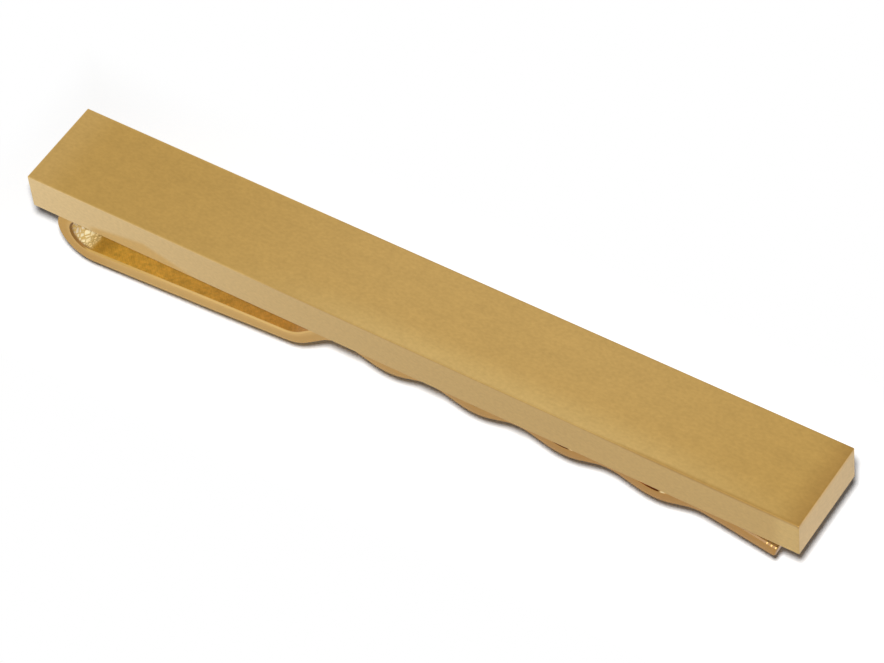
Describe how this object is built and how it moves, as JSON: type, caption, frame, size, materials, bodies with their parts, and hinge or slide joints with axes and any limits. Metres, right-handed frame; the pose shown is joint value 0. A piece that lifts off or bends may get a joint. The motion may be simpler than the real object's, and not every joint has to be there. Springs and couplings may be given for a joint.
{
  "type": "tie clip",
  "caption": "Slide-on tie clip: a solid brushed gold-tone bar with a bent spring strip under it that springs open and grips with pressed waves.",
  "frame": {"origin": "under the middle of the bar, level with the lowest point of the strip, which the clip lies on", "axes": "+X along the bar towards the open mouth, Y across the bar, +Z out of the show face"},
  "size_m": [0.055, 0.0066, 0.0072],
  "materials": {
    "bar_metal": "lengthwise satin brushed, gold plated",
    "strip_metal": "satin gold plate with a fine pressed diamond grip on the inner face",
    "braze": "smooth plated braze"
  },
  "bodies": {
    "bar_body": {"front_bar": "bar_metal", "braze_seam": "braze", "spring_root": "strip_metal", "spring_bend": "strip_metal"},
    "arm_body": {"spring_arm": "strip_metal"}
  },
  "joints": [
    {"name": "strip_spring", "type": "hinge", "parent": "bar_body", "child": "arm_body", "pos_m": [-0.0244, 0, 0.00225], "axis": [0, 1, 0], "range_deg": [0, 5], "stiffness_Nm_per_rad": 2, "deforming": ["spring_bend"]}
  ]
}
